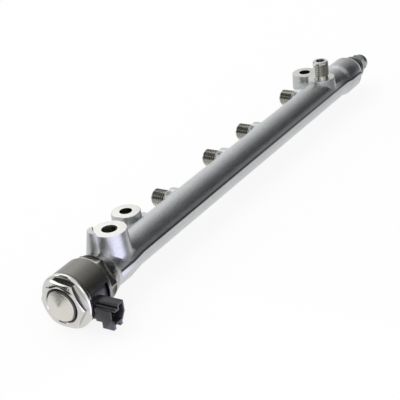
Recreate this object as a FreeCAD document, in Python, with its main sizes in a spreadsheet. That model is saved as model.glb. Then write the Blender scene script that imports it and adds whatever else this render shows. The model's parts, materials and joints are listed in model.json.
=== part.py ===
"""Forged fuel rail with a screwed-in pressure control valve and a screwed-in end plug.

Millimetres, +Z up.  The origin is on the axis of the near mounting eye, on the face of the eye
that sits on the engine.  The rail runs along +X, its four outlets point to +Y and the inlet to +Z.
"""
import FreeCAD, Part
import math
import os
import re
import Sketcher

AXIS_Z = FreeCAD.Vector(0, 0, 1)

# Driving dimensions: name, value, what it is
SIZES = [
    ("rail_dia", 22.8, "outside diameter of the forged tube"),
    ("bore_dia", 9.0, "main bore of the rail"),
    ("axis_height", 2.0, "height of the rail axis over the mounting faces"),
    ("port_reach", 58.1, "near eye to the control valve port face"),
    ("end_reach", 281.9, "near eye to the far end face"),
    ("collar_rise", 1.5, "collar over the tube, at each side"),
    ("port_lip_rise", 1.1, "lip round the port over the collar"),
    ("port_lip_length", 3.4, "cone from the lip down to the collar"),
    ("near_collar_length", 17.0, "full collar at the valve end"),
    ("near_collar_fade", 13.0, "cone from the near collar to the tube"),
    ("far_collar_length", 15.0, "full collar at the far end"),
    ("far_collar_fade", 6.0, "cone from the tube to the far collar"),
    ("end_taper", 6.5, "cone from the far collar to the end face"),
    ("end_face_dia", 20.0, "flat ring round the end plug"),
    ("flash_proud", 0.35, "how far the trimmed forging flash stands out"),
    ("flash_land", 1.2, "height of the trimmed flash"),
    ("parting_height", 2.3, "forging parting plane over the rail axis"),
    ("forging_draft", 3.5, "draft of the bosses, degrees"),
    ("boss_round", 1.5, "round where a boss or web meets the tube"),
    ("edge_break", 0.4, "broken edge of a machined face"),
    ("eye_offset", 21.0, "rail axis to the eye axes"),
    ("eye_pitch", 245.8, "distance between the two eyes"),
    ("eye_dia", 19.2, "mounting eye at its machined top"),
    ("eye_hole_dia", 8.5, "bolt hole"),
    ("eye_thick", 12.0, "mounting eye height"),
    ("eye_draft", 3.0, "draft of the eyes, degrees"),
    ("web_thick", 6.0, "web between eye and tube"),
    ("web_setback", 1.0, "web above the mounting face"),
    ("web_root", 24.0, "length of the web along the tube"),
    ("outlet_first", 39.6, "near eye to outlet 1"),
    ("outlet_pitch_a", 64.9, "outlet 1 to outlet 2"),
    ("outlet_pitch_b", 46.3, "outlet 2 to outlet 3"),
    ("outlet_pitch_c", 66.2, "outlet 3 to outlet 4"),
    ("outlet_boss_dia", 16.8, "forged boss under an outlet thread"),
    ("outlet_rise", 2.0, "outlet boss face over the tube"),
    ("inlet_setback", 11.7, "inlet axis to the far eye axis, along the rail"),
    ("inlet_boss_dia", 20.2, "machined boss face under the inlet thread"),
    ("inlet_rise", 1.4, "inlet boss face over the tube"),
    ("inlet_boss_draft", 6.0, "draft of the inlet boss, degrees"),
    ("union_dia", 12.0, "thread of the outlets and the inlet"),
    ("union_length", 12.7, "outlet boss face to the tip of its union"),
    ("union_chamfer", 1.0, "chamfer at a union tip"),
    ("union_neck_step", 0.9, "depth of the relief groove behind the thread"),
    ("union_neck_length", 1.0, "length of the relief groove"),
    ("union_mouth_dia", 6.8, "mouth of the sealing cone"),
    ("union_cone", 60.0, "sealing cone, degrees across"),
    ("union_drill_dia", 3.0, "drilling from union to main bore"),
    ("return_setback", 14.2, "return port axis from the valve port face"),
    ("return_height", 23.3, "return port spotface from the rail axis"),
    ("return_boss_dia", 21.2, "return boss at its spotface"),
    ("return_draft", 4.5, "draft of the return boss, degrees"),
    ("spotface_rim", 0.25, "forged rim left round the machined return face"),
    ("return_thread_dia", 10.0, "return port thread"),
    ("return_pitch", 1.0, "pitch of the return port thread"),
    ("return_tap_depth", 11.0, "depth of the return thread"),
    ("return_drill_dia", 4.0, "drilling from return port to valve chamber"),
    ("stop_offset_x", 6.5, "raised stop, from the return port towards the valve"),
    ("stop_offset_y", 5.8, "raised stop, from the return port towards the eyes"),
    ("stop_dia", 10.0, "raised stop at its top"),
    ("stop_rise", 1.7, "raised stop over the return face"),
    ("stop_draft", 10.0, "draft of the raised stop, degrees"),
    ("stop_foot", 6.0, "how far the stop runs below the rail axis"),
    ("facing_dia", 36.0, "machined facing round the valve port"),
    ("facing_reach", 8.0, "how far the facing cutter clears in front of the port"),
    ("land_dia", 19.2, "sealing land in the valve port"),
    ("land_depth", 5.5, "depth of the sealing land"),
    ("land_chamfer", 0.5, "lead-in of the sealing land"),
    ("chamber_room", 0.7, "return chamber over the stem thread"),
    ("chamber_length", 14.0, "length of the return chamber"),
    ("stem_thread_dia", 14.0, "thread of the valve stem"),
    ("stem_thread_length", 10.9, "length of the stem thread"),
    ("nose_step", 0.8, "nose of the stem under its thread"),
    ("nose_length", 2.6, "length of the stem's nose"),
    ("body_hex", 28.0, "hexagon of the valve body, across flats"),
    ("body_hex_turn", 58.0, "turn of its corners from +Y, degrees"),
    ("body_length", 12.0, "port face to the seat of the solenoid can"),
    ("skirt_length", 6.0, "conical skirt between port face and hexagon"),
    ("skirt_dia", 31.2, "skirt at the hexagon"),
    ("skirt_foot_dia", 28.0, "skirt at the port face"),
    ("spigot_wall", 2.1, "spigot that centres the solenoid can, over the guide tube"),
    ("spigot_length", 2.5, "length of the spigot"),
    ("seal_collar", 1.2, "collar between seal groove and return chamber"),
    ("seal_wire", 1.9, "section of the stem seal ring"),
    ("stem_clearance", 0.1, "gap between stem collar and sealing land"),
    ("backup_thick", 1.3, "backup ring"),
    ("cross_hole_dia", 2.5, "four holes from stem to return chamber"),
    ("stem_bore_dia", 6.0, "bore inside the stem"),
    ("stem_bore_start", 8.0, "port face to the start of the stem bore"),
    ("seat_dia", 8.0, "pressed-in valve seat"),
    ("seat_length", 4.0, "length of the valve seat"),
    ("seat_mouth_dia", 5.2, "mouth of the seat cone"),
    ("orifice_dia", 1.5, "hole through the seat"),
    ("ball_dia", 3.0, "valve ball"),
    ("ball_clearance", 0.05, "gap left between ball and seat"),
    ("ball_lift", 0.3, "travel of ball, needle and armature"),
    ("needle_dia", 3.0, "needle that holds the ball"),
    ("needle_clearance", 0.03, "running gap round the needle"),
    ("needle_grip", 5.0, "length of needle pressed into the armature"),
    ("armature_room", 1.5, "chamber behind the armature"),
    ("armature_dia", 16.6, "solenoid armature"),
    ("armature_length", 10.0, "armature length"),
    ("armature_setback", 1.0, "armature from the end of the guide tube"),
    ("armature_pocket", 4.0, "spring pocket in the armature"),
    ("tube_seat", 3.0, "how deep the guide tube sits in the valve body"),
    ("tube_grip", 4.4, "length of guide tube on the pole core"),
    ("armature_clearance", 0.1, "running gap round the armature"),
    ("tube_wall", 1.5, "wall of the guide tube"),
    ("shim_thick", 0.2, "non-magnetic shim on the pole face"),
    ("shim_gap", 0.1, "gap left between shim and armature at full lift"),
    ("spring_bore", 6.0, "spring bore in the pole core"),
    ("spring_bore_depth", 8.9, "depth of the spring bore in the pole core"),
    ("adjuster_length", 3.0, "spring adjuster"),
    ("spring_wire", 0.8, "armature spring wire"),
    ("spring_dia", 5.2, "outside diameter of the armature spring"),
    ("spring_turns", 6.5, "turns of the armature spring"),
    ("can_length", 20.0, "length of the solenoid can"),
    ("nut_thread_rise", 0.1, "nut thread over the guide tube"),
    ("nut_height", 8.0, "height of the retaining nut"),
    ("nut_hex", 28.0, "retaining nut, across flats"),
    ("nut_hex_turn", 3.0, "turn of the nut's corners from +Y, degrees"),
    ("nut_flange_dia", 36.0, "round flange of the nut"),
    ("nut_flange_thick", 3.6, "flange thickness"),
    ("nut_flange_round", 1.2, "rounded rim of the flange"),
    ("nut_face_drop", 1.0, "front ring of the nut under its hexagon"),
    ("nut_chamfer", 30.0, "chamfer of the nut's corners, degrees"),
    ("nut_mouth_rise", 1.7, "countersink at the front of the nut"),
    ("button_step", 0.3, "outer end of the pole core under its thread"),
    ("button_proud", 1.0, "rim of the button in front of the nut"),
    ("button_round", 0.5, "edge of the button"),
    ("button_cone", 2.0, "height of the shallow cone on the button"),
    ("can_dia", 35.4, "solenoid can"),
    ("can_wall", 1.2, "wall of the solenoid can"),
    ("can_round", 2.2, "rounded rear edge of the can"),
    ("can_fit", 0.05, "gap between can and spigot"),
    ("window_room", 7.2, "window behind the back of the connector"),
    ("window_top", 6.5, "top of the window over the valve axis"),
    ("window_bottom", 10.8, "bottom of the window under the valve axis"),
    ("coil_clearance", 0.2, "gap round the guide tube, inside the coil"),
    ("mould_wall", 1.5, "moulding behind the bobbin"),
    ("mould_front", 2.1, "moulding in front of the bobbin"),
    ("bobbin_wall", 0.9, "wall of the bobbin under the winding"),
    ("bobbin_rim", 0.3, "bobbin flanges over the winding"),
    ("bobbin_flange", 1.0, "thickness of a bobbin flange"),
    ("winding_depth", 1.9, "depth of the copper winding"),
    ("mould_recess", 0.4, "coil moulding inside the open end of the can"),
    ("mould_gap", 0.2, "gap between coil moulding and can"),
    ("coil_seal_wire", 1.8, "section of the two coil seal rings"),
    ("plug_overhang", 1.0, "front of the connector in front of the can"),
    ("plug_width", 10.2, "width of the connector along the rail"),
    ("plug_top", 1.7, "top of the connector over the valve axis"),
    ("plug_bottom", 9.8, "bottom of the connector under the valve axis"),
    ("plug_reach", 32.3, "valve axis to the connector mouth"),
    ("plug_neck", 18.4, "valve axis to the full connector section"),
    ("plug_step_width", 4.1, "width of the lowered front half of the top"),
    ("plug_step_depth", 2.6, "depth of that step"),
    ("plug_key", 0.9, "width and height of the key rib"),
    ("plug_key_inset", 2.0, "key rib from the connector front"),
    ("plug_corner", 3.1, "chamfer at the lower back corner, along the rail"),
    ("plug_corner_rise", 4.3, "chamfer at the lower back corner, upright"),
    ("plug_edge", 0.8, "chamfer along the upper front edge"),
    ("plug_wall", 1.2, "wall of the connector"),
    ("mouth_notch", 2.8, "how far the front wall stands back from the mouth"),
    ("mouth_notch_foot", 2.6, "rise of the slanting end of that notch"),
    ("socket_depth", 10.0, "depth of the socket"),
    ("pin_width", 0.8, "terminal pin, along the rail"),
    ("pin_height", 1.0, "terminal pin, upright"),
    ("pin_pitch", 3.6, "distance between the two pins"),
    ("pin_inset", 4.8, "connector mouth to the pin tips"),
    ("pin_root", 13.9, "valve axis to the inner end of the pins"),
    ("pin_setback", 5.0, "connector front to the pin axes"),
    ("pin_drop", 5.2, "middle of the two pins under the valve axis"),
    ("lug_start", 22.5, "valve axis to the latch lug"),
    ("lug_length", 8.0, "length of the latch lug"),
    ("lug_drop", 4.1, "height of the latch lug"),
    ("lug_width", 2.4, "thickness of the latch lugs"),
    ("small_lug_length", 4.0, "length of the small lug"),
    ("small_lug_drop", 2.5, "height of the small lug"),
    ("small_lug_inset", 4.3, "small lug from the connector front"),
    ("end_thread_dia", 14.0, "thread of the end plug"),
    ("end_thread_depth", 12.0, "depth of the end plug thread"),
    ("end_seat_step", 0.6, "large end of the plug's sealing cone under its thread"),
    ("end_nose_step", 2.0, "tip of the plug's cone under its thread"),
    ("plug_neck_step", 1.0, "relief behind the plug's thread"),
    ("plug_standoff", 4.0, "gap between end face and plug flange"),
    ("plug_flange_dia", 18.4, "thin flange of the plug"),
    ("plug_flange_thick", 2.0, "thickness of that flange"),
    ("end_hex", 13.6, "plug hexagon, across flats"),
    ("end_hex_turn", 15.0, "turn of its corners from +Y, degrees"),
    ("end_hex_height", 8.0, "height of the plug hexagon"),
    ("end_nub_dia", 12.6, "rounded end of the plug"),
    ("end_dome_height", 6.6, "length of the rounded end"),
    ("end_dome_round", 2.4, "round at its tip"),
]

# Words that follow from the driving dimensions.  Places along the valve count from the port
# face: outwards from tube_start to plug_back, inwards from chamber_depth to seal_groove_end.
DERIVED = {
    "collar_dia": "rail_dia + 2 * collar_rise",
    "port_lip_dia": "collar_dia + 2 * port_lip_rise",
    "outlet_boss_height": "rail_dia / 2 + outlet_rise",
    "inlet_boss_height": "rail_dia / 2 + inlet_rise",
    "union_reach": "outlet_boss_height + union_length",
    "union_neck_dia": "union_dia - 2 * union_neck_step",
    "spotface_dia": "return_boss_dia - 2 * spotface_rim",
    "return_tap_dia": "return_thread_dia - return_pitch",
    "stop_height": "return_height + stop_rise",
    "chamber_dia": "stem_thread_dia + 2 * chamber_room",
    "chamber_depth": "land_depth + chamber_length",
    "thread_depth": "chamber_depth + stem_thread_length",
    "nose_dia": "stem_thread_dia - 2 * nose_step",
    "nose_depth": "thread_depth + nose_length",
    "spigot_dia": "tube_dia + 2 * spigot_wall",
    "seal_groove_dia": "land_dia - 2 * seal_wire",
    "seal_groove_end": "land_depth - seal_collar",
    "guide_start": "tube_start - armature_room",
    "armature_start": "tube_start + armature_setback",
    "tube_start": "body_length - tube_seat",
    "armature_front": "armature_start + armature_length",
    "pole_face": "armature_front + ball_lift + shim_gap + shim_thick",
    "shim_face": "pole_face - shim_thick",
    "tube_end": "pole_face + tube_grip",
    "tube_bore": "armature_dia + 2 * armature_clearance",
    "tube_dia": "tube_bore + 2 * tube_wall",
    "spring_bore_end": "pole_face + spring_bore_depth",
    "can_end": "body_length + can_length",
    "nut_thread_dia": "tube_dia + 2 * nut_thread_rise",
    "nut_end": "can_end + nut_height",
    "nut_face_dia": "nut_hex - nut_face_drop",
    "nut_mouth_dia": "nut_thread_dia + 2 * nut_mouth_rise",
    "button_dia": "nut_thread_dia - 2 * button_step",
    "button_end": "nut_end + button_proud",
    "window_end": "plug_back - window_room",
    "coil_bore": "tube_dia + 2 * coil_clearance",
    "bobbin_start": "mould_start + mould_wall",
    "bobbin_end": "mould_end - mould_front",
    "bobbin_tube_dia": "coil_bore + 2 * bobbin_wall",
    "winding_dia": "bobbin_tube_dia + 2 * winding_depth",
    "bobbin_flange_dia": "winding_dia + 2 * bobbin_rim",
    "mould_start": "body_length + spigot_length + coil_seal_wire + mould_gap",
    "mould_end": "can_end - mould_recess",
    "plug_front": "can_end + plug_overhang",
    "plug_back": "plug_front - plug_width",
    "pin_back": "plug_front - pin_setback",
    "end_seat_dia": "end_thread_dia - 2 * end_seat_step",
    "end_nose_dia": "end_thread_dia - 2 * end_nose_step",
    "plug_neck_dia": "end_thread_dia - 2 * plug_neck_step",
}

doc = FreeCAD.newDocument("fuel_rail")
sheet = doc.addObject("Spreadsheet::Sheet", "Sizes")
for row, (alias, value, note) in enumerate(SIZES, start=1):
    sheet.set("A%d" % row, alias)
    sheet.set("B%d" % row, str(value))
    sheet.set("C%d" % row, note)
    sheet.setAlias("B%d" % row, alias)
doc.recompute()

ALIAS_WORDS = re.compile(r"\b(%s)\b" % "|".join(alias for alias, value, note in SIZES))
DERIVED_WORDS = re.compile(r"\b(%s)\b" % "|".join(DERIVED))
SUB_PARTS = []


def size(alias):
    """Value of one cell of the sheet."""
    return float(sheet.get(alias))


def cells(text):
    """A formula in plain words: a derived word becomes its own formula, an alias its cell."""
    while DERIVED_WORDS.search(text):
        text = DERIVED_WORDS.sub(lambda word: "(%s)" % DERIVED[word.group(0)], text)
    return ALIAS_WORDS.sub(r"Sizes.\1", text)


def new_body(name, x="0", y="0", z="0"):
    """An empty body whose Placement follows the sheet."""
    body = doc.addObject("PartDesign::Body", name)
    body.Label = name
    for letter, text in zip("xyz", (x, y, z)):
        body.setExpression("Placement.Base." + letter, cells(text))
    SUB_PARTS.append(body)
    return body


def valve_piece(name):
    """A body on the valve axis, with x = 0 on the valve port face."""
    return new_body(name, "-port_reach", "-eye_offset", "axis_height")


def origin_plane(body, role):
    return [item for item in body.Origin.OriginFeatures if item.Role == role][0]


def new_sketch(body, plane, name, x="0", y="0", z="0"):
    """A sketch on one of the body's own planes, moved by x, y and z of that plane."""
    sketch = body.newObject("Sketcher::SketchObject", name)
    sketch.AttachmentSupport = [(origin_plane(body, plane), "")]
    sketch.MapMode = "FlatFace"
    for letter, text in zip("xyz", (x, y, z)):
        if text != "0":
            sketch.setExpression("AttachmentOffset.Base." + letter, cells(text))
    return sketch


def fix_point(sketch, line, place, x, y, guess):
    """Ties one point of the sketch to two formulas."""
    for kind, text, start, axis in (("DistanceX", x, guess[0], -2), ("DistanceY", y, guess[1], -1)):
        if text == "0":
            sketch.addConstraint(Sketcher.Constraint("PointOnObject", line, place, axis))
        else:
            index = sketch.addConstraint(Sketcher.Constraint(kind, -1, 1, line, place, start))
            sketch.setExpression("Constraints[%d]" % index, cells(text))


def outline(sketch, points):
    """A closed outline with straight sides through points given as pairs of formulas."""
    first = sketch.GeometryCount
    count = len(points)
    spread = [2 * math.pi * step / count for step in range(count)]
    guesses = [(30 * math.cos(angle), 60 - 30 * math.sin(angle)) for angle in spread]
    for step in range(count):
        start = FreeCAD.Vector(guesses[step][0], guesses[step][1], 0)
        stop = FreeCAD.Vector(guesses[(step + 1) % count][0], guesses[(step + 1) % count][1], 0)
        sketch.addGeometry(Part.LineSegment(start, stop))
    for step in range(count):
        following = first + (step + 1) % count
        sketch.addConstraint(Sketcher.Constraint("Coincident", first + step, 2, following, 1))
    for step, (x, y) in enumerate(points):
        fix_point(sketch, first + step, 1, x, y, guesses[step])
    return sketch


def circle(sketch, dia, x="0", y="0"):
    """A circle with its diameter and centre given as formulas."""
    line = sketch.addGeometry(Part.Circle(FreeCAD.Vector(5, 5, 0), AXIS_Z, 4))
    fix_point(sketch, line, 3, x, y, (5, 5))
    index = sketch.addConstraint(Sketcher.Constraint("Diameter", line, 8))
    sketch.setExpression("Constraints[%d]" % index, cells(dia))
    return sketch


def hexagon(sketch, across, turn="0"):
    """A hexagon round the sketch's centre."""
    corner = "%s / sqrt(3) * %s((60 * %d + %s) * 1 deg)"
    points = []
    for step in range(6):
        points.append((corner % (across, "cos", step, turn), corner % (across, "sin", step, turn)))
    return outline(sketch, points)


def turned(body, kind, sketch, name, axis="H_Axis"):
    """Revolution or Groove of a sketch about one of its own axes."""
    feature = body.newObject("PartDesign::" + kind, name)
    feature.Profile = sketch
    feature.ReferenceAxis = (sketch, [axis])
    feature.Angle = 360
    return feature


def straight(body, kind, sketch, name, length, reverse=False, draft=None):
    """Pad or Pocket of a sketch, with its length and draft given as formulas."""
    feature = body.newObject("PartDesign::" + kind, name)
    feature.Profile = sketch
    feature.setExpression("Length", cells(length))
    feature.Reversed = reverse
    if draft:
        feature.setExpression("TaperAngle", cells(draft))
    return feature


def turned_piece(body, name, points, axis="H_Axis", plane="XY_Plane"):
    """The usual turned piece: one outline spun about the valve axis."""
    sketch = outline(new_sketch(body, plane, name + "_profile"), points)
    return turned(body, "Revolution", sketch, name + "_turned", axis)


def cut_flats(body, name, across, start, length, turn="0"):
    """Mills a hexagon over a turned blank, from start towards -X."""
    sketch = new_sketch(body, "YZ_Plane", name + "_flats", z=start)
    circle(sketch, "2 * (%s)" % across)
    hexagon(sketch, across, turn)
    return straight(body, "Pocket", sketch, name + "_milled", length)


def surface_kind(face):
    """Kind of surface and the axis that it is round or square to, such as Cylinder X."""
    surface = face.Surface
    axis = getattr(surface, "Axis", FreeCAD.Vector(0, 0, 0))
    letters = [letter for letter, part in zip("XYZ", axis) if abs(part) > 0.999]
    return "%s %s" % (type(surface).__name__, "".join(letters))


def edges_between(shape, kind, other_kind, smallest=0):
    """Names of the edges where two kinds of surface meet, without small round ones."""
    names = []
    for number, edge in enumerate(shape.Edges, start=1):
        kinds = sorted(surface_kind(face) for face in shape.ancestorsOfType(edge, Part.Face))
        if kinds == sorted([kind, other_kind]) and getattr(edge.Curve, "Radius", smallest) >= smallest:
            names.append("Edge%d" % number)
    return names


def rims(shape, radius):
    """Names of the circular edges of one radius, in order along the x axis."""
    found = []
    for number, edge in enumerate(shape.Edges, start=1):
        if abs(getattr(edge.Curve, "Radius", 0) - radius) < 0.001:
            found.append((round(edge.CenterOfMass.x, 4), "Edge%d" % number))
    return [name for x, name in sorted(found)]


def soften(body, name, edges, radius):
    """Fillet of chosen edges of the body's last feature."""
    base = body.Tip
    feature = body.newObject("PartDesign::Fillet", name)
    feature.Base = (base, edges)
    feature.setExpression("Radius", cells(radius))
    return feature


def drafted_boss(body, name, dia, x, y, top, height, draft):
    """A round forged boss that widens downwards from its top."""
    sketch = circle(new_sketch(body, "XY_Plane", name + "_top", x, y, top), dia)
    return straight(body, "Pad", sketch, name, height, reverse=True, draft=draft)


# The forging: tube with collars, flash, bosses and eyes
def tube_stations(extra=""):
    """Outline of the tube from the valve port to the far end, as pairs of x and radius."""
    near_full = "-port_reach + near_collar_length"
    far_full = "end_reach - end_taper - far_collar_length"
    return [
        ("-port_reach", "port_lip_dia / 2" + extra),
        ("-port_reach + port_lip_length", "collar_dia / 2" + extra),
        (near_full, "collar_dia / 2" + extra),
        (near_full + " + near_collar_fade", "rail_dia / 2" + extra),
        (far_full + " - far_collar_fade", "rail_dia / 2" + extra),
        (far_full, "collar_dia / 2" + extra),
        ("end_reach - end_taper", "collar_dia / 2" + extra),
        ("end_reach", "end_face_dia / 2" + extra),
    ]


def add_flash(body):
    """The trimmed flash: a thin plate on the parting plane, a little wider than the tube."""
    side = tube_stations(" + flash_proud")[1:-1]
    other_side = [(x, "-(%s)" % radius) for x, radius in reversed(side)]
    sketch = new_sketch(body, "XY_Plane", "flash_outline", z="parting_height - flash_land / 2")
    straight(body, "Pad", outline(sketch, side + other_side), "flash", "flash_land")


def add_eye(body, name, x):
    """A mounting eye and the web that joins it to the tube."""
    top = "eye_thick - axis_height"
    drafted_boss(body, name, "eye_dia", x, "eye_offset", top, "eye_thick", "eye_draft")
    sketch = new_sketch(body, "XY_Plane", name + "_web_outline", x, z="web_setback - axis_height")
    web = [
        ("-eye_dia / 2", "eye_offset"),
        ("-web_root / 2", "0"),
        ("web_root / 2", "0"),
        ("eye_dia / 2", "eye_offset"),
    ]
    straight(body, "Pad", outline(sketch, web), name + "_web", "web_thick")


def add_union(body, name, plane, x, boss_dia, boss_height, draft):
    """A threaded union: forged boss, relief groove and thread, spun about its own axis."""
    thread_start = "%s + union_neck_length + (union_dia - union_neck_dia) / 2" % boss_height
    profile = [
        ("0", "0"),
        ("%s / 2 + %s * tan(%s * 1 deg)" % (boss_dia, boss_height, draft), "0"),
        (boss_dia + " / 2", boss_height),
        ("union_neck_dia / 2", boss_height),
        ("union_neck_dia / 2", boss_height + " + union_neck_length"),
        ("union_dia / 2", thread_start),
        ("union_dia / 2", "union_reach - union_chamfer"),
        ("union_dia / 2 - union_chamfer", "union_reach"),
        ("0", "union_reach"),
    ]
    sketch = outline(new_sketch(body, plane, name + "_profile", x), profile)
    turned(body, "Revolution", sketch, name, "V_Axis")


def drill_union(body, name, plane, x):
    """Sealing cone in the union's tip and the drilling down to the main bore."""
    slope = "tan(union_cone / 2 * 1 deg)"
    cone_end = "union_reach - (union_mouth_dia - union_drill_dia) / 2 / " + slope
    profile = [
        ("0", "0"),
        ("union_drill_dia / 2", "0"),
        ("union_drill_dia / 2", cone_end),
        ("union_mouth_dia / 2 + union_chamfer * " + slope, "union_reach + union_chamfer"),
        ("0", "union_reach + union_chamfer"),
    ]
    sketch = outline(new_sketch(body, plane, name + "_drill_profile", x), profile)
    turned(body, "Groove", sketch, name + "_drill", "V_Axis")


def bore_stations():
    """Stepped bore from the valve port, through the main bore, to the end plug's seat."""
    clear = "-port_reach - land_chamfer"
    seat_drop = "(end_seat_dia - bore_dia) / 2"
    return [
        (clear, "0"),
        (clear, "land_dia / 2 + 2 * land_chamfer"),
        ("-port_reach + land_chamfer", "land_dia / 2"),
        ("-port_reach + land_depth", "land_dia / 2"),
        ("-port_reach + land_depth", "chamber_dia / 2"),
        ("-port_reach + chamber_depth", "chamber_dia / 2"),
        ("-port_reach + chamber_depth", "stem_thread_dia / 2"),
        ("-port_reach + thread_depth", "stem_thread_dia / 2"),
        ("-port_reach + thread_depth", "nose_dia / 2"),
        ("-port_reach + nose_depth", "nose_dia / 2"),
        ("-port_reach + nose_depth", "bore_dia / 2"),
        ("end_reach - end_thread_depth - " + seat_drop, "bore_dia / 2"),
        ("end_reach - end_thread_depth", "end_seat_dia / 2"),
        ("end_reach - end_thread_depth", "end_thread_dia / 2"),
        ("end_reach + 1", "end_thread_dia / 2"),
        ("end_reach + 1", "0"),
    ]


def return_stations():
    """Tapped return port with its lead-in and the drilling to the valve chamber."""
    lead = "(return_thread_dia - return_tap_dia) / 2"
    tap_end = "return_height - return_tap_depth"
    return [
        ("0", "0"),
        ("return_drill_dia / 2", "0"),
        ("return_drill_dia / 2", tap_end),
        ("return_tap_dia / 2", tap_end),
        ("return_tap_dia / 2", "return_height - " + lead),
        ("return_thread_dia / 2", "return_height"),
        ("return_thread_dia / 2", "return_height + 1"),
        ("0", "return_height + 1"),
    ]


OUTLETS = [
    ("outlet_1", "outlet_first"),
    ("outlet_2", "outlet_first + outlet_pitch_a"),
    ("outlet_3", "outlet_first + outlet_pitch_a + outlet_pitch_b"),
    ("outlet_4", "outlet_first + outlet_pitch_a + outlet_pitch_b + outlet_pitch_c"),
]
INLET_X = "eye_pitch - inlet_setback"
RETURN_X = "-port_reach + return_setback"


def soften_bosses(body):
    """Rounds the outlet bosses into the tube and breaks the rims of machined faces."""
    doc.recompute()
    roots = edges_between(body.Tip.Shape, "Cone Y", "Cylinder X")
    soften(body, "outlet_roots", roots, "boss_round")
    doc.recompute()
    outlet_rims = edges_between(body.Tip.Shape, "Cone Y", "Plane Y", smallest=size("union_dia") / 2)
    soften(body, "outlet_rims", outlet_rims, "edge_break")
    for name, alias in (("eye_rims", "eye_dia"), ("inlet_rim", "inlet_boss_dia")):
        doc.recompute()
        soften(body, name, rims(body.Tip.Shape, size(alias) / 2), "edge_break")


def make_rail_body():
    body = new_body("rail_body", "0", "-eye_offset", "axis_height")
    stations = [("-port_reach", "0")] + tube_stations() + [("end_reach", "0")]
    sketch = outline(new_sketch(body, "XY_Plane", "tube_profile"), stations)
    turned(body, "Revolution", sketch, "tube")
    drafted_boss(body, "return_boss", "return_boss_dia", RETURN_X, "0", "return_height",
                 "return_height", "return_draft")
    stop_x = RETURN_X + " - stop_offset_x"
    drafted_boss(body, "return_stop", "stop_dia", stop_x, "stop_offset_y", "stop_height",
                 "stop_height", "stop_draft")
    foot_dia = "stop_dia + 2 * stop_height * tan(stop_draft * 1 deg)"
    drafted_boss(body, "return_stop_foot", foot_dia, stop_x, "stop_offset_y", "0",
                 "stop_foot", "-4 * stop_draft")
    for name, x in OUTLETS:
        add_union(body, name, "XY_Plane", x, "outlet_boss_dia", "outlet_boss_height", "forging_draft")
    add_union(body, "inlet", "XZ_Plane", INLET_X, "inlet_boss_dia", "inlet_boss_height",
              "inlet_boss_draft")
    add_eye(body, "near_eye", "0")
    add_eye(body, "far_eye", "eye_pitch")
    soften_bosses(body)
    add_flash(body)

    facing = circle(new_sketch(body, "YZ_Plane", "port_facing_outline", z="-port_reach"), "facing_dia")
    straight(body, "Pocket", facing, "port_facing", "facing_reach")
    spotface = new_sketch(body, "XY_Plane", "spotface_outline", RETURN_X, z="return_height")
    straight(body, "Pocket", circle(spotface, "spotface_dia"), "spotface", "stop_height", reverse=True)
    bore = outline(new_sketch(body, "XY_Plane", "bore_profile"), bore_stations())
    turned(body, "Groove", bore, "bore")
    port = outline(new_sketch(body, "XZ_Plane", "return_port_profile", RETURN_X), return_stations())
    turned(body, "Groove", port, "return_port", "V_Axis")
    for name, x in OUTLETS:
        drill_union(body, name, "XY_Plane", x)
    drill_union(body, "inlet", "XZ_Plane", INLET_X)
    for name, x in (("near_eye", "0"), ("far_eye", "eye_pitch")):
        hole = new_sketch(body, "XY_Plane", name + "_hole_outline", x, "eye_offset",
                          "eye_thick - axis_height")
        straight(body, "Pocket", circle(hole, "eye_hole_dia"), name + "_hole", "eye_thick")
    return body


# The pressure control valve: every piece is turned about the rail axis
def make_valve_body():
    body = valve_piece("valve_body")
    corner = "body_hex / sqrt(3)"
    back = "-body_length - spigot_length"
    turned_piece(body, "valve_body", [
        (back, "tube_dia / 2"),
        (back, "spigot_dia / 2"),
        ("-body_length", "spigot_dia / 2"),
        ("-body_length", corner),
        ("-skirt_length", corner),
        ("-skirt_length", "skirt_dia / 2"),
        ("0", "skirt_foot_dia / 2"),
        ("0", "seal_groove_dia / 2"),
        ("seal_groove_end", "seal_groove_dia / 2"),
        ("seal_groove_end", "land_dia / 2 - stem_clearance"),
        ("land_depth", "land_dia / 2 - stem_clearance"),
        ("land_depth", "nose_dia / 2"),
        ("chamber_depth", "nose_dia / 2"),
        ("chamber_depth", "stem_thread_dia / 2"),
        ("thread_depth", "stem_thread_dia / 2"),
        ("thread_depth", "nose_dia / 2"),
        ("nose_depth", "nose_dia / 2"),
        ("nose_depth", "seat_dia / 2"),
        ("nose_depth - seat_length", "seat_dia / 2"),
        ("nose_depth - seat_length", "stem_bore_dia / 2"),
        ("stem_bore_start", "stem_bore_dia / 2"),
        ("stem_bore_start", "needle_dia / 2 + needle_clearance"),
        ("-guide_start", "needle_dia / 2 + needle_clearance"),
        ("-guide_start", "tube_bore / 2"),
        ("-tube_start", "tube_bore / 2"),
        ("-tube_start", "tube_dia / 2"),
    ])
    cut_flats(body, "valve_body", "body_hex", "-skirt_length", "body_length - skirt_length",
              "body_hex_turn")
    for plane, name in (("XZ_Plane", "upright"), ("XY_Plane", "level")):
        sketch = circle(new_sketch(body, plane, name + "_hole_outline", "return_setback"),
                        "cross_hole_dia")
        hole = straight(body, "Pocket", sketch, name + "_cross_holes", "chamber_dia")
        hole.Midplane = True
    return body


def make_valve_seat():
    body = valve_piece("valve_seat")
    start = "nose_depth - seat_length"
    throat = start + " + (seat_mouth_dia - orifice_dia) / 2"
    turned_piece(body, "valve_seat", [
        (start, "seat_mouth_dia / 2"),
        (start, "seat_dia / 2"),
        ("nose_depth", "seat_dia / 2"),
        ("nose_depth", "orifice_dia / 2"),
        (throat, "orifice_dia / 2"),
    ])
    return body


# Centre of the ball: it rests in a 90 degree cone, so its centre is root two radii behind the tip
BALL_X = "nose_depth - seat_length + seat_mouth_dia / 2 - (ball_dia / 2 + ball_clearance) * sqrt(2)"


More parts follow.
